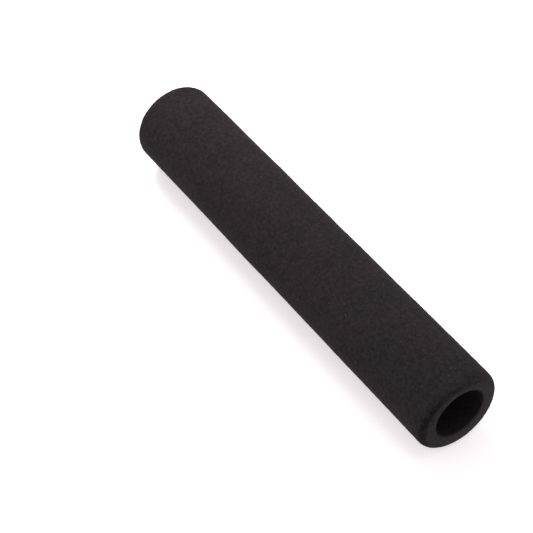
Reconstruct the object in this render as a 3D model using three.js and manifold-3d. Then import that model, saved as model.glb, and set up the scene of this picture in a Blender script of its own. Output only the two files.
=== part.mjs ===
// A slip-on foam grip for a scooter handlebar: one tube of soft closed-cell foam rubber, ground round on the outside,
// with rounded ends and a plain bore right through. It is drawn lying on its side, as it comes to rest.
// Millimetres, +Z up. The tube's axis runs along X, and the origin is on the resting surface, midway between the ends.

import * as THREE from "three";
import { mergeVertices } from "three/addons/utils/BufferGeometryUtils.js";
import Module from "manifold-3d";

// Driving dimensions
const gripLength = 175; // over the flat lands of both ends
const outerDiameter = 32;
const boreDiameter = 19.2; // as moulded, before it is stretched over the bar
const outerEdgeRadius = 3.5; // ground round the outside of both ends
const mouthDishWidth = 2; // each end face sinks towards the bore over this much of the wall
const mouthDishDepth = 0.7; // and by this much where it would meet the bore
const mouthEdgeRadius = 0.4; // softens the edge between the dish and the bore
const restFlatWidth = 6; // the strip along the underside that lying on it has pressed flat

// Smoothness of the round surfaces
const turnSegments = 96;
const outerEdgeSegments = 8;
const mouthEdgeSegments = 3;

// Sizes that follow from them
const outerRadius = outerDiameter / 2;
const boreRadius = boreDiameter / 2;
const halfLength = gripLength / 2;
const dishAngle = Math.atan2(mouthDishDepth, mouthDishWidth);
const axisHeight = Math.sqrt(outerRadius ** 2 - (restFlatWidth / 2) ** 2);

const wasm = await Module();
wasm.setup();

// A rounded edge of the section, turning clockwise about its centre.
function edgeRound(centreRadius, centreAlong, edgeRadius, fromAngle, toAngle, segments) {
  const arc = new THREE.EllipseCurve(
    centreRadius, centreAlong, edgeRadius, edgeRadius, fromAngle, toAngle, true,
  );
  return arc.getPoints(segments);
}

// The edge of the bore's mouth: it touches the bore wall on one side and the slope of the dish on the other.
function mouthEdge() {
  const centreRadius = boreRadius + mouthEdgeRadius;
  const touchRadius = centreRadius - mouthEdgeRadius * Math.sin(dishAngle);
  const touchAlong = halfLength - (boreRadius + mouthDishWidth - touchRadius) * Math.tan(dishAngle);
  const centreAlong = touchAlong - mouthEdgeRadius * Math.cos(dishAngle);
  return edgeRound(
    centreRadius, centreAlong, mouthEdgeRadius, Math.PI, Math.PI / 2 + dishAngle, mouthEdgeSegments,
  );
}

// The ground shoulder between the flat land of the end face and the outside.
function outerEdge() {
  return edgeRound(
    outerRadius - outerEdgeRadius, halfLength - outerEdgeRadius, outerEdgeRadius,
    Math.PI / 2, 0, outerEdgeSegments,
  );
}

// The closed section of the foam wall: x is the distance from the axis and y is the place along it.
// The two ends are mirror images of each other.
function wallSection() {
  const landStart = new THREE.Vector2(boreRadius + mouthDishWidth, halfLength);
  const front = [...mouthEdge(), landStart, ...outerEdge()];
  const back = front.map((point) => new THREE.Vector2(point.x, -point.y)).reverse();
  return [...front, ...back, front[0].clone()];
}

// The tube of foam about its own axis, turned to run along X.
function foamTube() {
  const section = wallSection().reverse();
  return new THREE.LatheGeometry(section, turnSegments).rotateZ(-Math.PI / 2);
}

// A block below the tube, with its top at the height of the pressed strip and its sides well clear of the foam.
function blockBelowRestFlat() {
  const side = 2 * outerDiameter;
  return new THREE.BoxGeometry(gripLength + side, side, side).translate(0, 0, -axisHeight - side / 2);
}

function toSolid(geometry) {
  geometry.deleteAttribute("normal");
  geometry.deleteAttribute("uv");
  const merged = mergeVertices(geometry);
  const mesh = new wasm.Mesh({
    numProp: 3,
    vertProperties: merged.attributes.position.array,
    triVerts: new Uint32Array(merged.index.array),
  });
  return new wasm.Manifold(mesh);
}

function toGeometry(solid) {
  const mesh = solid.getMesh();
  const geometry = new THREE.BufferGeometry();
  geometry.setAttribute("position", new THREE.BufferAttribute(mesh.vertProperties, mesh.numProp));
  geometry.setIndex(new THREE.BufferAttribute(mesh.triVerts, 1));
  geometry.computeVertexNormals();
  return geometry;
}

const foamMaterial = new THREE.MeshStandardMaterial({ color: 0x2e2a2c, roughness: 0.95, metalness: 0 });

// The foam grip, its underside pressed flat along a narrow strip.
function foamGrip() {
  const pressed = toSolid(foamTube()).subtract(toSolid(blockBelowRestFlat()));
  const mesh = new THREE.Mesh(toGeometry(pressed), foamMaterial);
  mesh.name = "foam_grip";
  mesh.position.z = axisHeight;
  return mesh;
}

const handlebarGrip = new THREE.Group();
handlebarGrip.add(foamGrip());

export default handlebarGrip;
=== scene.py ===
import math

import bmesh
import bpy
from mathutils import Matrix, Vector, noise


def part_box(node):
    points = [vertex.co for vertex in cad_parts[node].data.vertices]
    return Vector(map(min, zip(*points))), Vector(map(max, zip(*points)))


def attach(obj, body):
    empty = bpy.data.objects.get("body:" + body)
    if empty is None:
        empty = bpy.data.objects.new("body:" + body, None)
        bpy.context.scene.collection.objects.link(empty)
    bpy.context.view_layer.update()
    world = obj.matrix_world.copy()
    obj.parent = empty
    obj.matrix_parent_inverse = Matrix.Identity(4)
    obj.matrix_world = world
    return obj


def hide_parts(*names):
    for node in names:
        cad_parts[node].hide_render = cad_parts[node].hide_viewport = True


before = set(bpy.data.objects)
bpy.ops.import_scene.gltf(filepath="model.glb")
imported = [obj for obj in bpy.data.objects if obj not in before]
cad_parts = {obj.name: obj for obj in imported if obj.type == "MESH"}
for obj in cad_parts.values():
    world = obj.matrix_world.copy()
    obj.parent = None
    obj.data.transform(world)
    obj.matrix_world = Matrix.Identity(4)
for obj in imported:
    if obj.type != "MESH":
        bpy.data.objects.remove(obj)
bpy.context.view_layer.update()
scene = bpy.context.scene
scene.view_settings.view_transform = "Standard"

# All lengths are in metres. The grip's length and outer radius come from its box in the frame.
boxLow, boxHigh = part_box("foam_grip")
gripLength = boxHigh[0] - boxLow[0]
outerRadius = (boxHigh[1] - boxLow[1]) / 2
axisHeight = boxHigh[2] - outerRadius
print(f"frame: grip {gripLength:.4f} m long and {2 * outerRadius:.4f} m across")


# Camera

view = {
    "azimuth": 55.39,  # degrees, 0 looks along +Y and 90 along -X
    "elevation": 46.47,
    "distance": 0.6139,
    "target": (-0.00300, -0.01421),  # X and Y of the picture's middle, at the height of the grip's axis
    "lens": 118.2,
    "clip": (0.01, 20),
}


def makeCamera():
    azimuth, elevation = math.radians(view["azimuth"]), math.radians(view["elevation"])
    back = Vector((
        math.sin(azimuth) * math.cos(elevation),
        -math.cos(azimuth) * math.cos(elevation),
        math.sin(elevation),
    ))
    data = bpy.data.cameras.new("gripCamera")
    data.lens = view["lens"]
    data.clip_start, data.clip_end = view["clip"]
    camera = bpy.data.objects.new("gripCamera", data)
    scene.collection.objects.link(camera)
    camera.location = Vector((*view["target"], axisHeight)) + back * view["distance"]
    camera.rotation_mode = "QUATERNION"
    camera.rotation_quaternion = (-back).to_track_quat("-Z", "Y")
    scene.camera = camera


makeCamera()
print("camera: set")


# Shader helpers

def newMaterial(name):
    material = bpy.data.materials.new(name)
    material.use_nodes = True
    nodes, links = material.node_tree.nodes, material.node_tree.links
    nodes.clear()
    shader = nodes.new("ShaderNodeBsdfPrincipled")
    output = nodes.new("ShaderNodeOutputMaterial")
    links.new(shader.outputs["BSDF"], output.inputs["Surface"])
    return material, nodes, links, shader


def feed(links, value, socket):
    if isinstance(value, (int, float, tuple)):
        socket.default_value = value
    else:
        links.new(value, socket)


def mathNode(nodes, links, operation, first, second=0.0):
    node = nodes.new("ShaderNodeMath")
    node.operation = operation
    feed(links, first, node.inputs[0])
    feed(links, second, node.inputs[1])
    return node.outputs[0]


def vectorNode(nodes, links, operation, first, second):
    node = nodes.new("ShaderNodeVectorMath")
    node.operation = operation
    feed(links, first, node.inputs[0])
    feed(links, second, node.inputs[1])
    givesNumber = operation in ("DISTANCE", "DOT_PRODUCT")
    return node.outputs["Value" if givesNumber else "Vector"]


def rangeNode(nodes, links, value, fromLow, fromHigh, toLow=0.0, toHigh=1.0):
    node = nodes.new("ShaderNodeMapRange")
    node.interpolation_type = "SMOOTHSTEP"
    feed(links, value, node.inputs["Value"])
    feed(links, fromLow, node.inputs["From Min"])
    feed(links, fromHigh, node.inputs["From Max"])
    feed(links, toLow, node.inputs["To Min"])
    feed(links, toHigh, node.inputs["To Max"])
    return node.outputs["Result"]


def noiseNode(nodes, links, vector, scale, detail, roughness=0.5):
    node = nodes.new("ShaderNodeTexNoise")
    feed(links, vector, node.inputs["Vector"])
    feed(links, scale, node.inputs["Scale"])
    node.inputs["Detail"].default_value = detail
    node.inputs["Roughness"].default_value = roughness
    return node.outputs["Fac"]


mixSockets = {"FLOAT": (0, 2, 3, 0), "RGBA": (0, 6, 7, 2)}  # the amount, the two values and the result


def mixNode(nodes, links, kind, amount, first, second):
    # An amount below 0 gives more than all of the first value, such as foam darker than its dark tone.
    node = nodes.new("ShaderNodeMix")
    node.data_type = kind
    node.clamp_factor = False
    amountSocket, firstSocket, secondSocket, resultSocket = mixSockets[kind]
    feed(links, amount, node.inputs[amountSocket])
    feed(links, first, node.inputs[firstSocket])
    feed(links, second, node.inputs[secondSocket])
    return node.outputs[resultSocket]


# The grain of closed-cell foam, shared by its three finishes: opened cells, crumb round them and stray dust

grain = {
    "inputs": ("Cell Scale", "Crumb Scale", "Cell Share", "Dust Scale"),
    "cellSmoothness": 0.5,
    "cellRange": (0.1, 0.7),  # distance from a cell's middle, from its floor to the wall round it
    "crumbDetail": 3.0,
    "crumbRoughness": 0.5,
    "crumbRange": (0.3, 0.7),
    "cellHeight": 0.5,  # against the crumb's 1
    "dustDetail": 0.0,
    "dustRange": (0.77, 0.95),  # only the noise's highest peaks are dust
}


def makeFoamGrain():
    group = bpy.data.node_groups.new("foamGrain", "ShaderNodeTree")
    group.interface.new_socket("Vector", in_out="INPUT", socket_type="NodeSocketVector")
    for name in grain["inputs"]:
        group.interface.new_socket(name, in_out="INPUT", socket_type="NodeSocketFloat")
    for name in ("Shade", "Height", "Dust"):
        group.interface.new_socket(name, in_out="OUTPUT", socket_type="NodeSocketFloat")
    nodes, links = group.nodes, group.links
    given, result = nodes.new("NodeGroupInput"), nodes.new("NodeGroupOutput")
    vector = given.outputs["Vector"]

    cells = nodes.new("ShaderNodeTexVoronoi")
    cells.feature = "SMOOTH_F1"
    cells.inputs["Smoothness"].default_value = grain["cellSmoothness"]
    feed(links, vector, cells.inputs["Vector"])
    feed(links, given.outputs["Cell Scale"], cells.inputs["Scale"])
    wall = rangeNode(nodes, links, cells.outputs["Distance"], *grain["cellRange"])

    crumb = noiseNode(nodes, links, vector, given.outputs["Crumb Scale"], grain["crumbDetail"],
                      grain["crumbRoughness"])
    crumbShade = rangeNode(nodes, links, crumb, *grain["crumbRange"])
    shade = mixNode(nodes, links, "FLOAT", given.outputs["Cell Share"], crumbShade, wall)
    feed(links, shade, result.inputs["Shade"])
    wallHeight = mathNode(nodes, links, "MULTIPLY", wall, grain["cellHeight"])
    feed(links, mathNode(nodes, links, "ADD", crumb, wallHeight), result.inputs["Height"])

    dust = noiseNode(nodes, links, vector, given.outputs["Dust Scale"], grain["dustDetail"])
    feed(links, rangeNode(nodes, links, dust, *grain["dustRange"]), result.inputs["Dust"])
    return group


foamGrain = makeFoamGrain()


def placeGrain(nodes, links, vector, finish):
    node = nodes.new("ShaderNodeGroup")
    node.node_tree = foamGrain
    links.new(vector, node.inputs["Vector"])
    for name in grain["inputs"]:
        node.inputs[name].default_value = finish[name]
    return node


def centredVector(nodes, links):
    # Object coordinates, moved so that the grip's axis is the X axis.
    coordinates = nodes.new("ShaderNodeTexCoord")
    mapping = nodes.new("ShaderNodeMapping")
    mapping.inputs["Location"].default_value = (0, 0, -axisHeight)
    links.new(coordinates.outputs["Object"], mapping.inputs["Vector"])
    return mapping.outputs["Vector"]


# Rings round the axis at both ends, where the foam is darker, or lighter where a depth is below 0. Most of
# this is painted light and shade: each ring leans to one side and is painted darker on the side that gets
# less light. Only the shoulder's dark band of open cells is the foam's own colour.

endRingsAndPaintedLight = {
    # A darker band of open cells round the shoulder. Its one-sided strength is painted shade: darkest on
    # the -Y side and fading out towards +Y.
    "shoulder": {
        "radii": (0.0128, 0.0141, 0.0146, 0.0156),  # where it starts, is whole, starts to fall and ends
        "centre": (-0.0007, -0.0005),  # how far its middle lies off the axis, in Y and Z
        "towards": (-1.0, 0.0),  # the side that it leans to, in Y and Z
        "depths": (0.0, 0.80),  # on the side across from that one, and on that one
    },
    # Painted light and shade across the end face: painted lighter on its lower +Y side, which faces the
    # floor and the near-end lamp, and painted darker on its upper -Y side.
    "face": {
        "radii": (0.0080, 0.0096, 0.0097, 0.0158),
        "centre": (0.0, 0.0),
        "towards": (-0.82, 0.57),
        "depths": (-0.70, 0.50),
    },
    # Painted shade round the mouth of the bore, deepest on its lower +Y side.
    "mouthEdge": {
        "radii": (0.0088, 0.0097, 0.0099, 0.0106),
        "centre": (0.0, 0.0),
        "towards": (0.85, -0.53),
        "depths": (0.10, 1.20),
    },
}
ringFade = (0.0035, 0.0018)  # the rings fade in between these distances from either end of the grip


# Paints the end rings' light and shade into the tone, near the ends only.
def paintEndRings(nodes, links, vector, tone):
    across = vectorNode(nodes, links, "MULTIPLY", vector, (0, 1, 1))
    alongAxis = vectorNode(nodes, links, "DOT_PRODUCT", vector, (1, 0, 0))
    along = mathNode(nodes, links, "ABSOLUTE", alongAxis)
    nearEnds = rangeNode(nodes, links, along, *(gripLength / 2 - fade for fade in ringFade))
    for ring in endRingsAndPaintedLight.values():
        start, whole, fall, end = ring["radii"]
        distance = vectorNode(nodes, links, "DISTANCE", across, (0, *ring["centre"]))
        rising = rangeNode(nodes, links, distance, start, whole)
        falling = rangeNode(nodes, links, distance, fall, end, 1.0, 0.0)
        band = mathNode(nodes, links, "MULTIPLY", rising, falling)
        lean = vectorNode(nodes, links, "DOT_PRODUCT", across, (0, *ring["towards"]))
        depth = rangeNode(nodes, links, lean, -outerRadius, outerRadius, *ring["depths"])
        change = mathNode(nodes, links, "MULTIPLY", band, depth)
        change = mathNode(nodes, links, "MULTIPLY", change, nearEnds)
        tone = mathNode(nodes, links, "SUBTRACT", tone, change)
    return tone


# The three finishes of the foam

clouds = {"scale": 70.0, "detail": 3.0, "range": (0.3, 0.7), "share": 0.18}  # slow changes of tone

groundFoam = {
    "Cell Scale": 1300.0,
    "Crumb Scale": 680.0,
    "Cell Share": 0.5,
    "Dust Scale": 1100.0,
    "dark": (0.0118, 0.0088, 0.0096, 1),
    "light": (0.0260, 0.0200, 0.0219, 1),
    "dust": (0.050, 0.043, 0.0455, 1),
    "roughness": (0.95, 0.85),  # in the dark of the grain and in its light
    "specular": 0.06,
    "relief": 0.00004,
}
cutFoam = {
    "Cell Scale": 2600.0,
    "Crumb Scale": 1100.0,
    "Cell Share": 0.5,
    "Dust Scale": 1500.0,
    "dark": (0.0116, 0.0090, 0.0099, 1),
    "light": (0.0240, 0.0192, 0.0208, 1),
    "dust": (0.050, 0.044, 0.047, 1),
    "roughness": (0.92, 0.82),
    "specular": 0.08,
    "relief": 0.00004,
}
boreFoam = {
    "Cell Scale": 1600.0,
    "Crumb Scale": 600.0,
    "Cell Share": 0.3,
    "Dust Scale": 900.0,
    "dark": (0.0061, 0.0046, 0.0051, 1),
    "light": (0.0148, 0.0113, 0.0124, 1),
    "dust": (0.025, 0.021, 0.0225, 1),
    "roughness": (0.98, 0.90),
    "specular": 0.05,
    "relief": 0.00004,
}


def finishFoam(name, finish, withPaintedRings):
    material, nodes, links, shader = newMaterial(name)
    vector = centredVector(nodes, links)
    placed = placeGrain(nodes, links, vector, finish)
    shade = placed.outputs["Shade"]
    cloudNoise = noiseNode(nodes, links, vector, clouds["scale"], clouds["detail"])
    cloud = rangeNode(nodes, links, cloudNoise, *clouds["range"])
    tone = mixNode(nodes, links, "FLOAT", clouds["share"], shade, cloud)
    # The end rings' painted light and shade go into the ground and cut finishes.
    if withPaintedRings:
        tone = paintEndRings(nodes, links, vector, tone)
    colour = mixNode(nodes, links, "RGBA", tone, finish["dark"], finish["light"])
    colour = mixNode(nodes, links, "RGBA", placed.outputs["Dust"], colour, finish["dust"])
    links.new(colour, shader.inputs["Base Color"])
    roughness = rangeNode(nodes, links, shade, 0.0, 1.0, *finish["roughness"])
    links.new(roughness, shader.inputs["Roughness"])
    shader.inputs["Specular IOR Level"].default_value = finish["specular"]
    bump = nodes.new("ShaderNodeBump")
    bump.inputs["Strength"].default_value = 1.0
    bump.inputs["Distance"].default_value = finish["relief"]
    links.new(placed.outputs["Height"], bump.inputs["Height"])
    links.new(bump.outputs["Normal"], shader.inputs["Normal"])
    return material


finishes = [
    finishFoam("groundFoam", groundFoam, withPaintedRings=True),
    finishFoam("cutFoam", cutFoam, withPaintedRings=True),
    finishFoam("boreFoam", boreFoam, withPaintedRings=False),
]
groundSlot, cutSlot, boreSlot = range(3)
print("materials: ground, cut and bore finishes made")


# The foam grip

grip = {
    "boreRadius": 0.0096,
    "outerEdgeRadius": 0.0035,
    "mouthDishWidth": 0.002,
    "mouthDishDepth": 0.0007,
    "mouthEdgeRadius": 0.0004,
    "outerEdgeSegments": 11,
    "mouthEdgeSegments": 3,
    "turnSteps": 208,
    "barrelCuts": 340,
    "boreCuts": 70,
    "landCuts": 2,
    "dishCuts": 4,
    "leastCutLength": 0.0008,  # shorter edges, which are those of the roundings, get no cuts
    "weldDistance": 1e-6,
    "relief": [(0.00009, 60.0), (0.00007, 620.0)],  # height and waves per metre: slow swells, then crumbs
    "boreFinishRadius": 0.00972,  # the bore's finish ends at this distance from the axis
    "cutFinishRadius": 0.0134,  # and the end face's finish at this one
}


def drawSection(bm):
    # The wall above the axis, seen from the side: bore below, outside above and a dished face at each end.
    half = gripLength / 2
    faceRadius = grip["boreRadius"] + grip["mouthDishWidth"]
    rightHalf = [
        (half - grip["mouthDishDepth"], grip["boreRadius"]),
        (half, faceRadius),
        (half, outerRadius),
    ]
    outline = rightHalf + [(-along, radius) for along, radius in reversed(rightHalf)]
    verts = [bm.verts.new((along, 0, axisHeight + radius)) for along, radius in outline]
    rightMouth, _, rightEdge, leftEdge, _, leftMouth = verts
    bm.faces.new(verts)
    mouthTurn = math.pi / 2 - math.atan2(grip["mouthDishDepth"], grip["mouthDishWidth"])
    mouthReach = grip["mouthEdgeRadius"] * math.tan(mouthTurn / 2)
    roundings = [
        ([rightEdge, leftEdge], grip["outerEdgeRadius"], grip["outerEdgeSegments"]),
        ([rightMouth, leftMouth], mouthReach, grip["mouthEdgeSegments"]),
    ]
    for corners, reach, segments in roundings:
        bmesh.ops.bevel(
            bm, geom=corners, offset=reach, offset_type="OFFSET", affect="VERTICES",
            segments=segments, profile=0.5, material=-1, clamp_overlap=False,
        )
    bmesh.ops.delete(bm, geom=bm.faces[:], context="FACES_ONLY")


def cutsFor(edge):
    low, high = edge.verts
    length = edge.calc_length()
    if length > gripLength / 2:
        middle = (low.co.z + high.co.z) / 2 - axisHeight
        onOutside = middle > (grip["boreRadius"] + outerRadius) / 2
        return grip["barrelCuts"] if onOutside else grip["boreCuts"]
    if length > grip["leastCutLength"]:
        sloping = abs(low.co.x - high.co.x) > grip["mouthDishDepth"] / 2
        return grip["dishCuts"] if sloping else grip["landCuts"]
    return 0


def divideSection(bm):
    # The straight stretches get the cuts that the relief needs.
    plan = [(edge, cutsFor(edge)) for edge in bm.edges]
    for edge, cuts in plan:
        if cuts:
            bmesh.ops.subdivide_edges(bm, edges=[edge], cuts=cuts)


def turnSection(bm):
    bmesh.ops.spin(
        bm, geom=bm.verts[:] + bm.edges[:], cent=(0, 0, axisHeight), axis=(1, 0, 0),
        angle=math.tau, steps=grip["turnSteps"], use_merge=True, use_duplicate=False,
    )
    bmesh.ops.remove_doubles(bm, verts=bm.verts[:], dist=grip["weldDistance"])
    bmesh.ops.recalc_face_normals(bm, faces=bm.faces[:])


def fromAxis(point):
    return math.hypot(point.y, point.z - axisHeight)


def roughen(bm):
    # Evenly in and out of the true surface. The bore stays as its mandrel left it.
    # The relief starts at one edge radius out from the bore and is whole at two.
    bm.normal_update()
    moves = []
    for vert in bm.verts:
        share = min(max((fromAxis(vert.co) - grip["boreRadius"]) / grip["mouthEdgeRadius"] - 1, 0), 1)
        rise = sum(height * noise.noise(vert.co * waves) for height, waves in grip["relief"])
        moves.append(vert.normal * share * rise)
    for vert, move in zip(bm.verts, moves):
        vert.co += move
        vert.co.z = max(vert.co.z, 0)  # the underside is pressed flat where it lies


def nameFinishes(bm):
    for face in bm.faces:
        face.smooth = True
        middle = face.calc_center_median()
        distance = fromAxis(middle)
        atEnd = abs(middle.x) > gripLength / 2 - grip["outerEdgeRadius"]
        if distance < grip["boreFinishRadius"]:
            face.material_index = boreSlot
        elif distance < grip["cutFinishRadius"] and atEnd:
            face.material_index = cutSlot
        else:
            face.material_index = groundSlot


def makeGrip():
    bm = bmesh.new()
    drawSection(bm)
    divideSection(bm)
    turnSection(bm)
    roughen(bm)
    nameFinishes(bm)
    mesh = bpy.data.meshes.new("foamGrip")
    bm.to_mesh(mesh)
    bm.free()
    for material in finishes:
        mesh.materials.append(material)
    piece = bpy.data.objects.new("foamGrip", mesh)
    scene.collection.objects.link(piece)
    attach(piece, "root")
    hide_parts("foam_grip")
    triangles = sum(len(polygon.vertices) - 2 for polygon in mesh.polygons)
    print(f"foam grip: {triangles} triangles")


makeGrip()


# Floor and light

studio = {
    "floorSize": 6.0,
    "floorColour": (0.80, 0.76, 0.772, 1),  # in the light that the floor throws back
    "floorSeenColour": (0.68, 0.646, 0.6565, 1),  # in the picture, where it makes the shadow wide and soft
    "floorRoughness": 0.9,
    "floorLift": 0.555,  # seen by the camera only, so that the lit floor reaches white
    "liftColour": (1.0, 0.935, 0.955, 1),  # keeps the shadow's faint warmth
    "worldColour": (1, 1, 1, 1),
    "worldStrength": 0.83,
}
lamps = {  # each aims at a point of the grip's axis, this far along it
    "softboxLeft": {"place": (0.45, -1.1, 0.55), "aim": 0, "size": 0.8, "watts": 1.3},
    "softboxBehind": {"place": (-0.1, 1.0, 0.6), "aim": 0, "size": 0.8, "watts": 0.3},
    "softboxNearEnd": {"place": (1.0, 0.0, 0.11), "aim": gripLength / 2, "size": 0.25, "watts": 2.3},
    "softboxFarEnd": {"place": (-0.4, 0.05, 0.34), "aim": -0.06, "size": 0.25, "watts": 2.2},
}


def cameraOnly(nodes, links):
    # Seen straight on, mirrored or through something clear.
    path = nodes.new("ShaderNodeLightPath")
    seen = mathNode(nodes, links, "MAXIMUM", path.outputs["Is Camera Ray"], path.outputs["Is Glossy Ray"])
    return mathNode(nodes, links, "MAXIMUM", seen, path.outputs["Is Transmission Ray"])


def makeFloor():
    bm = bmesh.new()
    bmesh.ops.create_grid(bm, x_segments=1, y_segments=1, size=studio["floorSize"] / 2)
    mesh = bpy.data.meshes.new("floor")
    bm.to_mesh(mesh)
    bm.free()
    material, nodes, links, shader = newMaterial("paleFloor")
    seen = cameraOnly(nodes, links)
    colour = mixNode(nodes, links, "RGBA", seen, studio["floorColour"], studio["floorSeenColour"])
    links.new(colour, shader.inputs["Base Color"])
    shader.inputs["Roughness"].default_value = studio["floorRoughness"]
    shader.inputs["Specular IOR Level"].default_value = 0.0
    shader.inputs["Emission Color"].default_value = studio["liftColour"]
    lift = mathNode(nodes, links, "MULTIPLY", seen, studio["floorLift"])
    links.new(lift, shader.inputs["Emission Strength"])
    mesh.materials.append(material)
    floor = bpy.data.objects.new("floor", mesh)
    scene.collection.objects.link(floor)


def makeWorld():
    world = bpy.data.worlds.new("studioWorld")
    scene.world = world
    world.use_nodes = True
    nodes, links = world.node_tree.nodes, world.node_tree.links
    nodes.clear()
    seen = cameraOnly(nodes, links)
    background = nodes.new("ShaderNodeBackground")
    background.inputs["Color"].default_value = studio["worldColour"]
    spare = mathNode(nodes, links, "MULTIPLY", seen, 1 - studio["worldStrength"])
    strength = mathNode(nodes, links, "ADD", spare, studio["worldStrength"])
    links.new(strength, background.inputs["Strength"])
    output = nodes.new("ShaderNodeOutputWorld")
    links.new(background.outputs["Background"], output.inputs["Surface"])


def makeLamps():
    for name, lamp in lamps.items():
        data = bpy.data.lights.new(name, "AREA")
        data.shape = "DISK"
        data.size = lamp["size"]
        data.energy = lamp["watts"]
        light = bpy.data.objects.new(name, data)
        scene.collection.objects.link(light)
        light.location = lamp["place"]
        light.rotation_mode = "QUATERNION"
        beam = Vector((lamp["aim"], 0, axisHeight)) - Vector(lamp["place"])
        light.rotation_quaternion = beam.to_track_quat("-Z", "Y")


makeFloor()
makeWorld()
makeLamps()
print("studio: floor, world and lamps placed")
